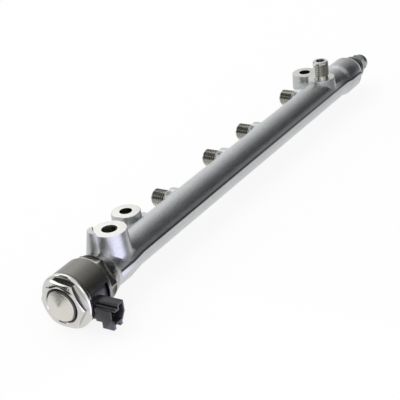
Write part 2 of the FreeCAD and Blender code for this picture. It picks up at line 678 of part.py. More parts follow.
def make_valve_ball():
    ball = doc.addObject("Part::Sphere", "valve_ball")
    ball.Label = "valve_ball"
    ball.setExpression("Radius", cells("ball_dia / 2"))
    ball.setExpression("Placement.Base.x", cells("-port_reach + " + BALL_X))
    ball.setExpression("Placement.Base.y", cells("-eye_offset"))
    ball.setExpression("Placement.Base.z", cells("axis_height"))
    SUB_PARTS.append(ball)
    return ball


def make_valve_needle():
    body = valve_piece("valve_needle")
    turned_piece(body, "valve_needle", [
        ("-armature_start - needle_grip", "0"),
        ("-armature_start - needle_grip", "needle_dia / 2"),
        (BALL_X + " - ball_dia / 2", "needle_dia / 2"),
        (BALL_X + " - ball_dia / 2", "0"),
    ])
    return body


def make_armature():
    body = valve_piece("armature")
    turned_piece(body, "armature", [
        ("-armature_start", "needle_dia / 2"),
        ("-armature_start", "armature_dia / 2"),
        ("-armature_front", "armature_dia / 2"),
        ("-armature_front", "spring_bore / 2"),
        ("-armature_front + armature_pocket", "spring_bore / 2"),
        ("-armature_front + armature_pocket", "0"),
        ("-armature_start - needle_grip", "0"),
        ("-armature_start - needle_grip", "needle_dia / 2"),
    ])
    return body


def make_armature_spring():
    body = valve_piece("armature_spring")
    start = "-armature_front + armature_pocket - spring_wire / 2"
    room = "spring_bore_end - adjuster_length - armature_front + armature_pocket"
    sketch = new_sketch(body, "XY_Plane", "spring_wire_section")
    circle(sketch, "spring_wire", start, "(spring_dia - spring_wire) / 2")
    doc.recompute()
    coil = body.newObject("PartDesign::AdditiveHelix", "spring_coil")
    coil.Profile = sketch
    coil.ReferenceAxis = (sketch, ["H_Axis"])
    coil.Mode = "height-turns-angle"
    coil.setExpression("Height", cells(room + " - spring_wire"))
    coil.setExpression("Turns", cells("spring_turns"))
    coil.Reversed = True
    return body


def make_guide_tube():
    body = valve_piece("guide_tube")
    turned_piece(body, "guide_tube", [
        ("-tube_start", "tube_bore / 2"),
        ("-tube_start", "tube_dia / 2"),
        ("-tube_end", "tube_dia / 2"),
        ("-tube_end", "tube_bore / 2"),
    ])
    return body


def make_pole_shim():
    body = valve_piece("pole_shim")
    turned_piece(body, "pole_shim", [
        ("-pole_face", "spring_bore / 2"),
        ("-pole_face", "armature_dia / 2"),
        ("-shim_face", "armature_dia / 2"),
        ("-shim_face", "spring_bore / 2"),
    ])
    return body


def make_pole_core():
    body = valve_piece("pole_core")
    turned_piece(body, "pole_core", [
        ("-pole_face", "spring_bore / 2"),
        ("-pole_face", "tube_bore / 2"),
        ("-tube_end", "tube_bore / 2"),
        ("-tube_end", "tube_dia / 2"),
        ("-can_end", "tube_dia / 2"),
        ("-can_end", "nut_thread_dia / 2"),
        ("-nut_end", "nut_thread_dia / 2"),
        ("-nut_end", "button_dia / 2"),
        ("-button_end", "button_dia / 2"),
        ("-button_end - button_cone", "0"),
        ("-spring_bore_end", "0"),
        ("-spring_bore_end", "spring_bore / 2"),
    ])
    doc.recompute()
    soften(body, "button_edge", edges_between(body.Tip.Shape, "Cone X", "Cylinder X"), "button_round")
    return body


def make_spring_adjuster():
    body = valve_piece("spring_adjuster")
    turned_piece(body, "spring_adjuster", [
        ("-spring_bore_end", "0"),
        ("-spring_bore_end", "spring_bore / 2"),
        ("-spring_bore_end + adjuster_length", "spring_bore / 2"),
        ("-spring_bore_end + adjuster_length", "0"),
    ])
    return body


def make_retaining_nut():
    body = valve_piece("retaining_nut")
    corner = "nut_hex / sqrt(3)"
    corner_drop = "(%s - nut_face_dia / 2) * tan(nut_chamfer * 1 deg)" % corner
    mouth = "(nut_mouth_dia - nut_thread_dia) / 2"
    flange_front = "-can_end - nut_flange_thick"
    turned_piece(body, "retaining_nut", [
        ("-can_end", "nut_thread_dia / 2"),
        ("-can_end", "nut_flange_dia / 2"),
        (flange_front, "nut_flange_dia / 2"),
        (flange_front, corner),
        ("-nut_end + " + corner_drop, corner),
        ("-nut_end", "nut_face_dia / 2"),
        ("-nut_end", "nut_mouth_dia / 2"),
        ("-nut_end + " + mouth, "nut_thread_dia / 2"),
    ])
    doc.recompute()
    flange_rims = rims(body.Tip.Shape, size("nut_flange_dia") / 2)
    soften(body, "flange_round", flange_rims, "nut_flange_round")
    cut_flats(body, "retaining_nut", "nut_hex", flange_front, "nut_end - can_end", "nut_hex_turn")
    return body


def make_solenoid_can():
    body = valve_piece("solenoid_can")
    turned_piece(body, "solenoid_can", [
        ("-can_end", "can_dia / 2"),
        ("-body_length", "can_dia / 2"),
        ("-body_length", "spigot_dia / 2 + can_fit"),
        ("-body_length - can_wall", "spigot_dia / 2 + can_fit"),
        ("-body_length - can_wall", "can_dia / 2 - can_wall"),
        ("-can_end", "can_dia / 2 - can_wall"),
    ])
    doc.recompute()
    outer = size("can_dia") / 2
    soften(body, "outer_round", rims(body.Tip.Shape, outer)[-1:], "can_round")
    doc.recompute()
    inner = size("can_dia") / 2 - size("can_wall")
    soften(body, "inner_round", rims(body.Tip.Shape, inner)[-1:], "can_round - can_wall")
    sketch = outline(new_sketch(body, "XZ_Plane", "window_outline"), [
        ("-can_end - can_wall", "-window_bottom"),
        ("-window_end", "-window_bottom"),
        ("-window_end", "window_top"),
        ("-can_end - can_wall", "window_top"),
    ])
    straight(body, "Pocket", sketch, "window", "can_dia", reverse=True)
    return body


def make_coil_bobbin():
    body = valve_piece("coil_bobbin")
    turned_piece(body, "coil_bobbin", [
        ("-bobbin_start", "coil_bore / 2"),
        ("-bobbin_start", "bobbin_flange_dia / 2"),
        ("-bobbin_start - bobbin_flange", "bobbin_flange_dia / 2"),
        ("-bobbin_start - bobbin_flange", "bobbin_tube_dia / 2"),
        ("-bobbin_end + bobbin_flange", "bobbin_tube_dia / 2"),
        ("-bobbin_end + bobbin_flange", "bobbin_flange_dia / 2"),
        ("-bobbin_end", "bobbin_flange_dia / 2"),
        ("-bobbin_end", "coil_bore / 2"),
    ])
    return body


def make_coil_winding():
    body = valve_piece("coil_winding")
    turned_piece(body, "coil_winding", [
        ("-bobbin_start - bobbin_flange", "bobbin_tube_dia / 2"),
        ("-bobbin_start - bobbin_flange", "winding_dia / 2"),
        ("-bobbin_end + bobbin_flange", "winding_dia / 2"),
        ("-bobbin_end + bobbin_flange", "bobbin_tube_dia / 2"),
    ])
    return body


def plug_section():
    """Section of the connector across its own length, as pairs of x and z."""
    step = "plug_top - plug_step_depth"
    key_front = "-plug_front + plug_key_inset"
    key_back = key_front + " + plug_key"
    return [
        ("-plug_front", "-plug_bottom"),
        ("-plug_back - plug_corner", "-plug_bottom"),
        ("-plug_back", "-plug_bottom + plug_corner_rise"),
        ("-plug_back", "plug_top"),
        ("-plug_front + plug_step_width", "plug_top"),
        ("-plug_front + plug_step_width", step),
        (key_back, step),
        (key_back, step + " + plug_key"),
        (key_front, step + " + plug_key"),
        (key_front, step),
        ("-plug_front + plug_edge", step),
        ("-plug_front", step + " - plug_edge"),
    ]


def socket_section():
    """Section of the connector's socket, one wall inside the connector."""
    step = "plug_top - plug_step_depth - plug_wall"
    step_x = "-plug_front + plug_step_width + plug_wall"
    return [
        ("-plug_front + plug_wall", "-plug_bottom + plug_wall"),
        ("-plug_back - plug_corner - plug_wall / 2", "-plug_bottom + plug_wall"),
        ("-plug_back - plug_wall", "-plug_bottom + plug_corner_rise + plug_wall / 2"),
        ("-plug_back - plug_wall", "plug_top - plug_wall"),
        (step_x, "plug_top - plug_wall"),
        (step_x, step),
        ("-plug_front + plug_wall", step),
    ]


def make_connector_housing():
    """Coil moulding and connector, which are one piece of plastic."""
    body = valve_piece("connector_housing")
    front_seat = "-mould_end + coil_seal_wire - can_end + mould_end"
    turned_piece(body, "coil_moulding", [
        ("-mould_start", "coil_bore / 2"),
        ("-mould_start", "can_dia / 2 - can_wall - mould_gap"),
        ("-mould_end", "can_dia / 2 - can_wall - mould_gap"),
        ("-mould_end", "coil_bore / 2 + coil_seal_wire + mould_gap"),
        (front_seat, "coil_bore / 2 + coil_seal_wire + mould_gap"),
        (front_seat, "coil_bore / 2"),
        ("-bobbin_end", "coil_bore / 2"),
        ("-bobbin_end", "bobbin_flange_dia / 2"),
        ("-bobbin_start", "bobbin_flange_dia / 2"),
        ("-bobbin_start", "coil_bore / 2"),
    ])
    neck = outline(new_sketch(body, "XZ_Plane", "connector_neck_outline", z="pin_root + 1"), [
        ("-mould_end", "-plug_bottom"),
        ("-plug_back", "-plug_bottom"),
        ("-plug_back", "plug_top"),
        ("-mould_end", "plug_top"),
    ])
    straight(body, "Pad", neck, "connector_neck", "plug_neck - pin_root - 1")
    section = new_sketch(body, "XZ_Plane", "connector_outline", z="plug_neck")
    straight(body, "Pad", outline(section, plug_section()), "connector", "plug_reach - plug_neck")
    for name, start, length, drop, inset in (
            ("latch_lug", "lug_start", "lug_length", "lug_drop", "0"),
            ("small_lug", "plug_reach - small_lug_length", "small_lug_length", "small_lug_drop",
             "small_lug_inset")):
        lug = outline(new_sketch(body, "XZ_Plane", name + "_outline", z=start), [
            ("-plug_front + " + inset, "-plug_bottom"),
            ("-plug_front + " + inset, "-plug_bottom - " + drop),
            ("-plug_front + lug_width + " + inset, "-plug_bottom - " + drop),
            ("-plug_front + lug_width + " + inset, "-plug_bottom"),
        ])
        straight(body, "Pad", lug, name, length)
    socket = outline(new_sketch(body, "XZ_Plane", "socket_outline", z="plug_reach"), socket_section())
    straight(body, "Pocket", socket, "socket", "socket_depth")
    notch = outline(new_sketch(body, "YZ_Plane", "mouth_notch_outline", z="-plug_front"), [
        ("-plug_reach - 1", "plug_top"),
        ("-plug_reach + mouth_notch", "plug_top"),
        ("-plug_reach + mouth_notch", "-plug_bottom + mouth_notch_foot"),
        ("-plug_reach", "-plug_bottom + plug_edge / 2"),
        ("-plug_reach - 1", "-plug_bottom + plug_edge / 2"),
    ])
    straight(body, "Pocket", notch, "mouth_notch", "plug_wall", reverse=True)
    for name, rise in (("lower", "-pin_pitch / 2"), ("upper", "pin_pitch / 2")):
        slot = pin_section(new_sketch(body, "XZ_Plane", name + "_pin_slot_outline", z="plug_reach"), rise)
        straight(body, "Pocket", slot, name + "_pin_slot", "plug_reach - pin_root")
    return body


def pin_section(sketch, rise):
    """Section of one terminal pin."""
    return outline(sketch, [
        ("-pin_back - pin_width / 2", "-pin_drop - pin_height / 2 + " + rise),
        ("-pin_back + pin_width / 2", "-pin_drop - pin_height / 2 + " + rise),
        ("-pin_back + pin_width / 2", "-pin_drop + pin_height / 2 + " + rise),
        ("-pin_back - pin_width / 2", "-pin_drop + pin_height / 2 + " + rise),
    ])


def make_terminal(name, rise):
    body = valve_piece(name)
    sketch = pin_section(new_sketch(body, "XZ_Plane", name + "_outline", z="pin_root"), rise)
    straight(body, "Pad", sketch, name + "_pin", "plug_reach - pin_inset - pin_root")
    return body


def make_seal_ring(name, wire, x, inner_dia):
    """A round rubber ring."""
    body = valve_piece(name)
    sketch = circle(new_sketch(body, "XY_Plane", name + "_section"), wire, x,
                    "(%s + %s) / 2" % (inner_dia, wire))
    turned(body, "Revolution", sketch, name + "_turned")
    return body


def make_backup_ring():
    body = valve_piece("stem_backup_ring")
    turned_piece(body, "stem_backup_ring", [
        ("seal_groove_end - backup_thick", "seal_groove_dia / 2"),
        ("seal_groove_end - backup_thick", "land_dia / 2"),
        ("seal_groove_end", "land_dia / 2"),
        ("seal_groove_end", "seal_groove_dia / 2"),
    ])
    return body


def make_end_plug():
    """Plug with a sealing cone, flange, hexagon and rounded end; x = 0 on the rail's end face."""
    body = new_body("end_plug", "end_reach", "-eye_offset", "axis_height")
    cone_start = "-end_thread_depth - (end_seat_dia - plug_neck_dia) / 2"
    tip = "-end_thread_depth - (end_seat_dia - end_nose_dia) / 2"
    flange_end = "plug_standoff + plug_flange_thick"
    hex_end = flange_end + " + end_hex_height"
    turned_piece(body, "end_plug", [
        (tip, "0"),
        (tip, "end_nose_dia / 2"),
        (cone_start, "plug_neck_dia / 2"),
        ("-end_thread_depth", "plug_neck_dia / 2"),
        ("-end_thread_depth", "end_thread_dia / 2"),
        ("0", "end_thread_dia / 2"),
        ("0", "plug_neck_dia / 2"),
        ("plug_standoff", "plug_neck_dia / 2"),
        ("plug_standoff", "plug_flange_dia / 2"),
        (flange_end, "plug_flange_dia / 2"),
        (flange_end, "end_hex / sqrt(3)"),
        (hex_end, "end_hex / sqrt(3)"),
        (hex_end, "end_nub_dia / 2"),
        (hex_end + " + end_dome_height", "end_nub_dia / 2"),
        (hex_end + " + end_dome_height", "0"),
    ])
    doc.recompute()
    soften(body, "dome", rims(body.Tip.Shape, size("end_nub_dia") / 2)[-1:], "end_dome_round")
    cut_flats(body, "end_plug", "end_hex", hex_end, "end_hex_height", "end_hex_turn")
    return body


make_rail_body()
make_valve_body()
make_valve_seat()
make_valve_ball()
make_valve_needle()
make_armature()
make_armature_spring()
make_guide_tube()
make_pole_shim()
make_pole_core()
make_spring_adjuster()
make_retaining_nut()
make_solenoid_can()
make_coil_bobbin()
make_coil_winding()
make_connector_housing()
make_terminal("lower_terminal", "-pin_pitch / 2")
make_terminal("upper_terminal", "pin_pitch / 2")
make_seal_ring("coil_seal_front", "coil_seal_wire", "-can_end + coil_seal_wire / 2", "coil_bore")
make_seal_ring("coil_seal_rear", "coil_seal_wire",
               "-body_length - spigot_length - coil_seal_wire / 2", "coil_bore")
make_seal_ring("stem_seal_ring", "seal_wire", "seal_groove_end - backup_thick - seal_wire / 2",
               "seal_groove_dia")
make_backup_ring()
make_end_plug()
doc.recompute()

faults = [item.Name for item in doc.Objects if {"Invalid", "Error"} & set(item.State)]
for piece in SUB_PARTS:
    if piece.Shape.isNull() or not piece.Shape.isValid() or not piece.Shape.Solids:
        faults.append(piece.Label)
if faults:
    raise RuntimeError("not sound: " + ", ".join(faults))

os.makedirs("parts", exist_ok=True)
for piece in SUB_PARTS:
    piece.Shape.exportStep(os.path.join("parts", piece.Label + ".step"))
    box = piece.Shape.BoundBox
    print("%-20s %9.1f mm3  x %7.2f %7.2f  y %7.2f %7.2f  z %7.2f %7.2f" % (
        piece.Label, piece.Shape.Volume, box.XMin, box.XMax, box.YMin, box.YMax, box.ZMin, box.ZMax))
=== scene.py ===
# %% [markdown]
# A forged fuel rail
#
# A fuel rail is a thick steel tube that feeds petrol or diesel at high pressure to the injectors.
# The CAD model gives every piece at its real size. This lesson adds what CAD leaves plain: the
# threads, the softened edges of a forging, and the finish of each metal and plastic. Each step is a
# cell, so it can be read and tried one at a time.

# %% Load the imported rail
import json
import math

import bpy
from mathutils import Matrix, Vector


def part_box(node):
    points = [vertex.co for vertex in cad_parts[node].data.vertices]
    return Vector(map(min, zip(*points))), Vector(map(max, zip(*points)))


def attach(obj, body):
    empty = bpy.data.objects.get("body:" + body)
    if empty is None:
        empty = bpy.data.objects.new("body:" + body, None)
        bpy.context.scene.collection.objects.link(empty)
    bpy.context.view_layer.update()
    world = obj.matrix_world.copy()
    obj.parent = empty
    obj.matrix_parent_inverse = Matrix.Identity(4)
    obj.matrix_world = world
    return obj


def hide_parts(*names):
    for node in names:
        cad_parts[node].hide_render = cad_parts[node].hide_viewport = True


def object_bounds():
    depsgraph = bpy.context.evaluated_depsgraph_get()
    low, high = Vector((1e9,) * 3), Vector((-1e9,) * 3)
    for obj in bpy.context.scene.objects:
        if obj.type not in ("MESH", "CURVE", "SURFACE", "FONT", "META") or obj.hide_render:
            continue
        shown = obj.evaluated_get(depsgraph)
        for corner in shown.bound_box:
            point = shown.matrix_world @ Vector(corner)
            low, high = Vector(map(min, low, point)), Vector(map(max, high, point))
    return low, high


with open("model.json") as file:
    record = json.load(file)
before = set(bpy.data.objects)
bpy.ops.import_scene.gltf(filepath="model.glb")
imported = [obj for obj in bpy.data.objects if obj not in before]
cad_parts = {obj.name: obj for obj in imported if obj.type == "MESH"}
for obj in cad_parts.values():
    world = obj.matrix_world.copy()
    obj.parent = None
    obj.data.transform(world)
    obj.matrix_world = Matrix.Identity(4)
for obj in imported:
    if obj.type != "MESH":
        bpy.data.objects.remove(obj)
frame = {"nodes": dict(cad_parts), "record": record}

cad_box = [list(corner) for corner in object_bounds()]
mounts = {mount["name"]: mount for mount in frame["record"]["mounts"]}
MM = 0.001
MM_PER_M = 1000
print("CAD pieces:", len(frame["nodes"]), "mounts:", len(mounts))

# %% [markdown]
# The camera comes first, because every choice of colour and edge is judged through it. Its place and
# turn were solved from the reference picture. The long lens, about 115 mm, keeps the far end of the
# rail almost as large as the near one, as product photographs do.

# %% Camera at the photograph's angle
LENS_MM = 114.92
CAMERA_PLACE = (-0.5697, -0.4639, 0.3749)
CAMERA_TURN = (63.506, 6.839, -57.997)

bpy.ops.object.camera_add(location=CAMERA_PLACE,
                          rotation=[math.radians(angle) for angle in CAMERA_TURN])
camera = bpy.context.object
camera.name = "camera"
camera.data.lens = LENS_MM
camera.data.sensor_width = 36
camera.data.clip_end = 20
bpy.context.scene.camera = camera
bpy.context.scene.view_settings.view_transform = "Standard"

# %% [markdown]
# Bare metal has no colour of its own to speak of: it shows the room. So the room matters more than
# the lamps. A white floor and a white sky fill most reflections and make the plain background, and
# two soft lamps shape the tube. What gives steel its depth is darkness, so dark cards stand, lie or
# hang where the photographed metal mirrors something dark, and a half-dark one lies in front. One lit
# card with a faint violet tint lies beside it. Only mirror reflections see the cards, so they cast no
# shadow and stay out of the picture, and without them the rail would look like white paint.


# %% Colours and small helpers
def colour(red, green, blue):
    """A colour as read from a screen, 0 to 255, turned into the linear values that nodes use."""
    parts = []
    for value in (red, green, blue):
        share = value / 255
        parts.append(share / 12.92 if share <= 0.04045 else ((share + 0.055) / 1.055) ** 2.4)
    return (*parts, 1.0)


def select_only(piece):
    """Makes one object the only selected one, which is what the next operator will act on."""
    bpy.ops.object.select_all(action="DESELECT")
    piece.select_set(True)
    bpy.context.view_layer.objects.active = piece


def node(tree, kind, **sockets):
    """Adds a shader node and sets its input sockets by name."""
    made = tree.nodes.new(kind)
    for name, value in sockets.items():
        made.inputs[name.replace("_", " ")].default_value = value
    return made


# %% What a ray sees
def seen_by(tree, camera_share):
    """1 for mirror and glass rays, the given share for camera rays, and 0 for plain lighting."""
    rays = node(tree, "ShaderNodeLightPath")
    share = node(tree, "ShaderNodeMath")
    share.operation = "MULTIPLY"
    share.inputs[1].default_value = camera_share
    tree.links.new(rays.outputs["Is Camera Ray"], share.inputs[0])
    result = share
    for label in ("Is Glossy Ray", "Is Transmission Ray"):
        larger = node(tree, "ShaderNodeMath")
        larger.operation = "MAXIMUM"
        tree.links.new(result.outputs[0], larger.inputs[0])
        tree.links.new(rays.outputs[label], larger.inputs[1])
        result = larger
    return result.outputs[0]


# %% Floor
# The floor is white by its own colour. Most of what the camera sees of it is a glow at a strength of
# 1, which lifts the far corners to white and leaves a light shadow. Mirrors see only that glow.
FLOOR_GAP = 0.5 * MM
FLOOR_GLOW = 0.85
floor_level = cad_box[0][2] - FLOOR_GAP
bpy.ops.object.select_all(action="DESELECT")
bpy.ops.mesh.primitive_plane_add(size=8, location=(0, 0, floor_level))
floor = bpy.context.object
floor.name = "floor"
floor_paint = bpy.data.materials.new("floor_paint")
floor_paint.use_nodes = True
tree = floor_paint.node_tree
floor_shader = tree.nodes["Principled BSDF"]
floor_shader.inputs["Base Color"].default_value = colour(252, 252, 252)
floor_shader.inputs["Roughness"].default_value = 0.9
glow = node(tree, "ShaderNodeEmission", Color=(1, 1, 1, 1), Strength=1.0)
blend = node(tree, "ShaderNodeMixShader")
tree.links.new(seen_by(tree, FLOOR_GLOW), blend.inputs[0])
tree.links.new(floor_shader.outputs[0], blend.inputs[1])
tree.links.new(glow.outputs[0], blend.inputs[2])
tree.links.new(blend.outputs[0], tree.nodes["Material Output"].inputs["Surface"])
floor.data.materials.append(floor_paint)

# %% Sky
# The sky lights the scene at less than full strength, but the camera and the mirrors see it white.
SKY_LIGHT = 0.72
world = bpy.data.worlds.new("pale_sky")
bpy.context.scene.world = world
world.use_nodes = True
sky = world.node_tree
sky.nodes.clear()
lighting = node(sky, "ShaderNodeBackground", Color=(1, 1, 1, 1), Strength=SKY_LIGHT)
white = node(sky, "ShaderNodeBackground", Color=(1, 1, 1, 1), Strength=1.0)
choose = node(sky, "ShaderNodeMixShader")
sky.links.new(seen_by(sky, 1.0), choose.inputs[0])
sky.links.new(lighting.outputs[0], choose.inputs[1])
sky.links.new(white.outputs[0], choose.inputs[2])
sky.links.new(choose.outputs[0], node(sky, "ShaderNodeOutputWorld").inputs[0])

# %% Lamps
RAIL_MIDDLE = Vector((0.10, -0.021, 0.0))


def soft_lamp(name, place, width, height, watts):
    """A large rectangular lamp, aimed at the rail."""
    turn = (RAIL_MIDDLE - Vector(place)).to_track_quat("-Z", "Y").to_euler()
    bpy.ops.object.light_add(type="AREA", location=place, rotation=turn)
    lamp = bpy.context.object
    lamp.name = name
    lamp.data.shape = "RECTANGLE"
    lamp.data.size = width
    lamp.data.size_y = height
    lamp.data.energy = watts


soft_lamp("top_back_lamp", (0.1, 0.9, 1.3), 2.4, 1.6, 10)
soft_lamp("left_front_lamp", (-1.1, -1.0, 0.9), 0.8, 0.8, 3)


# %% Cards that only metal sees
CARD = 2 * MM
SHADE = colour(57, 58, 61)
HALF_SHADE = colour(150, 152, 155)
LIT = colour(233, 230, 253)
LIT_STRENGTH = 2.1
RIGHT = 1.30
LEFT = -1.30
FRONT = -2.0
CARD_TOP = 1.6
lying, lying_top = floor_level + CARD, floor_level + 2 * CARD


def card_between(name, low, high, shade=SHADE, strength=1.0, fade=None):
    """A thin glowing card between two corners. With fade, two places on Y, it passes to white."""
    low, high = Vector(low), Vector(high)
    bpy.ops.object.select_all(action="DESELECT")
    bpy.ops.mesh.primitive_cube_add(size=1, location=(low + high) / 2)
    card = bpy.context.object
    card.name = name
    card.scale = high - low
    bpy.ops.object.transform_apply(location=True, rotation=True, scale=True)
    card.visible_camera = False
    card.visible_diffuse = False
    card.visible_shadow = False
    paint = bpy.data.materials.new(name + "_paint")
    paint.use_nodes = True
    tree = paint.node_tree
    tree.nodes.clear()
    shown = node(tree, "ShaderNodeEmission", Color=shade, Strength=strength)
    if fade:
        place = node(tree, "ShaderNodeTexCoord")
        parts = node(tree, "ShaderNodeSeparateXYZ")
        share = node(tree, "ShaderNodeMapRange", From_Min=fade[0], From_Max=fade[1])
        ramp = node(tree, "ShaderNodeMix")
        tree.links.new(place.outputs["Object"], parts.inputs[0])
        tree.links.new(parts.outputs["Y"], share.inputs[0])
        ramp.data_type = "RGBA"
        ramp.inputs[6].default_value = shade
        ramp.inputs[7].default_value = (1, 1, 1, 1)
        tree.links.new(share.outputs[0], ramp.inputs[0])
        tree.links.new(ramp.outputs[2], shown.inputs["Color"])
    tree.links.new(shown.outputs[0], node(tree, "ShaderNodeOutputMaterial").inputs[0])
    card.data.materials.append(paint)


card_between("right_card", (RIGHT, FRONT, floor_level), (RIGHT + CARD, 0.95, CARD_TOP),
             fade=(-0.45, 0.95))
card_between("lying_card", (-0.02, FRONT, lying), (RIGHT, -0.066, lying_top), HALF_SHADE)
card_between("foot_card", (-0.50, 0.015, lying), (-0.17, 0.25, lying_top))
card_between("front_card", (0.60, FRONT - CARD, floor_level), (RIGHT, FRONT, CARD_TOP))
card_between("left_card", (LEFT, 0.25, 0.05), (LEFT + CARD, 1.40, 1.2))
card_between("overhead_card", (-0.75, 0.15, 0.9), (0.45, 0.95, 0.9 + CARD))
card_between("lit_card", (-0.45, -0.40, lying), (-0.025, -0.045, lying_top), LIT, LIT_STRENGTH)

# %% [markdown]
# The rail is forged from steel and then blasted, so its skin is satin with a faint unevenness. The
# faces that seal or sit on something are machined, and they are brighter, with fine rings. Both
# effects are used by several materials, so each is a node group with named inputs.


# %% Making a node group
FLOAT = "NodeSocketFloat"
COLOR = "NodeSocketColor"


def add_group(name, inputs, outputs):
    """An empty shader group with named sockets, and its two end nodes."""
    group = bpy.data.node_groups.new(name, "ShaderNodeTree")
    for label, kind, value in inputs:
        socket = group.interface.new_socket(label, in_out="INPUT", socket_type=kind)
        socket.default_value = value
    for label, kind in outputs:
        group.interface.new_socket(label, in_out="OUTPUT", socket_type=kind)
    return group, group.nodes.new("NodeGroupInput"), group.nodes.new("NodeGroupOutput")


def link(tree, source, target):
    """Joins (node, output name) to (node, input name or number)."""
    tree.links.new(source[0].outputs[source[1]], target[0].inputs[target[1]])


def sum_node(tree, operation, first=None, second=None, third=None):
    """A Math node; a pair is linked, a number is typed in."""
    made = tree.nodes.new("ShaderNodeMath")
    made.operation = operation
    for place, value in enumerate((first, second, third)):
        if isinstance(value, tuple):
            link(tree, value, (made, place))
        elif value is not None:
            made.inputs[place].default_value = value
    return made, "Value"


# %% Node group: blasted skin
# Clouds are a centimetre or two wide, specks about a millimetre, and the grain a third of one.
SPECK_SCALE = 900
skin, start, end = add_group(
    "Blasted skin",
    [("Color", COLOR, (0.6, 0.6, 0.6, 1)), ("Mottle", FLOAT, 0.12), ("Roughness", FLOAT, 0.4),
     ("Grain", FLOAT, 2600.0), ("Cloud", FLOAT, 70.0), ("Speckle", FLOAT, 0.15)],
    [("Color", COLOR), ("Roughness", FLOAT), ("Height", FLOAT)])
place = node(skin, "ShaderNodeTexCoord")
grain = node(skin, "ShaderNodeTexNoise", Detail=3.0)
cloud = node(skin, "ShaderNodeTexNoise", Detail=4.0)
specks = node(skin, "ShaderNodeTexNoise", Scale=SPECK_SCALE, Detail=2.0, Roughness=0.7)
link(skin, (place, "Object"), (specks, "Vector"))
for texture, scale in ((grain, "Grain"), (cloud, "Cloud")):
    link(skin, (place, "Object"), (texture, "Vector"))
    link(skin, (start, scale), (texture, "Scale"))
cloudiness = sum_node(skin, "SUBTRACT", (cloud, "Fac"), 0.5)
clouded = sum_node(skin, "MULTIPLY_ADD", cloudiness, (start, "Mottle"), 1.0)
speckled = sum_node(skin, "SUBTRACT", (specks, "Fac"), 0.5)
shade = sum_node(skin, "MULTIPLY_ADD", speckled, (start, "Speckle"), clouded)
tint = node(skin, "ShaderNodeVectorMath")
tint.operation = "SCALE"
link(skin, (start, "Color"), (tint, 0))
link(skin, shade, (tint, "Scale"))
link(skin, (tint, "Vector"), (end, "Color"))
link(skin, sum_node(skin, "MULTIPLY", (start, "Roughness"), shade), (end, "Roughness"))
link(skin, (grain, "Fac"), (end, "Height"))

# %% Node group: turning marks
# The radius comes in millimetres, and the rings are as far apart as the tool moved per turn.
marks, start, end = add_group(
    "Turning marks",
    [("Radius", FLOAT, 0.0), ("Feed", FLOAT, 0.25), ("Depth", FLOAT, 0.08)],
    [("Shade", FLOAT), ("Height", FLOAT)])
wobble = node(marks, "ShaderNodeTexNoise", Scale=3.0, Detail=2.0)
wobble.noise_dimensions = "1D"
link(marks, (start, "Radius"), (wobble, "W"))
turns = sum_node(marks, "DIVIDE", (start, "Radius"), (start, "Feed"))
drift = sum_node(marks, "MULTIPLY_ADD", (wobble, "Fac"), 1.5, turns)
wave = sum_node(marks, "SINE", sum_node(marks, "MULTIPLY", drift, 2 * math.pi))
link(marks, wave, (end, "Height"))
banding = sum_node(marks, "SUBTRACT", (wobble, "Fac"), 0.5)
ripple = sum_node(marks, "MULTIPLY_ADD", wave, 0.35, banding)
link(marks, sum_node(marks, "MULTIPLY_ADD", ripple, (start, "Depth"), 1.0), (end, "Shade"))

# %% [markdown]
# A finish is one short function call: the base colour, how rough it is, and how much it varies. The
# colours are bare metal as it looks under plain white light. Steel is a little blue where it is
# blasted, warmer where it is turned, and warmer still on the rolled threads. The bores are painted
# dark, a painted shade for the shade inside them. The upper edge of the forging's trimmed land and
# the side of the button get a painted shade as well.


# %% Materials with a blasted or moulded skin
SKIN_RELIEF = 0.05 * MM
RING_RELIEF = 0.01 * MM


def skinned(name, base, roughness, metallic=1.0, mottle=0.12, bump=0.15, grain=2600.0, cloud=70.0,
            speckle=0.1):
    """A material whose colour, roughness and bump come from the blasted skin."""
    made = bpy.data.materials.new(name)
    made.use_nodes = True
    tree = made.node_tree
    shader = tree.nodes["Principled BSDF"]
    shader.inputs["Metallic"].default_value = metallic
    use = node(tree, "ShaderNodeGroup")
    use.node_tree = skin
    for socket, value in (("Color", base), ("Roughness", roughness), ("Mottle", mottle),
                          ("Grain", grain), ("Cloud", cloud), ("Speckle", speckle)):
        use.inputs[socket].default_value = value
    relief = node(tree, "ShaderNodeBump", Strength=bump, Distance=SKIN_RELIEF)
    link(tree, (use, "Color"), (shader, "Base Color"))
    link(tree, (use, "Roughness"), (shader, "Roughness"))
    link(tree, (use, "Height"), (relief, "Height"))
    link(tree, (relief, "Normal"), (shader, "Normal"))
    return made


# %% Materials with turning marks
RAIL_AXIS = Vector((0, mounts["inlet"]["pos_m"][1], mounts["outlet_1"]["pos_m"][2]))


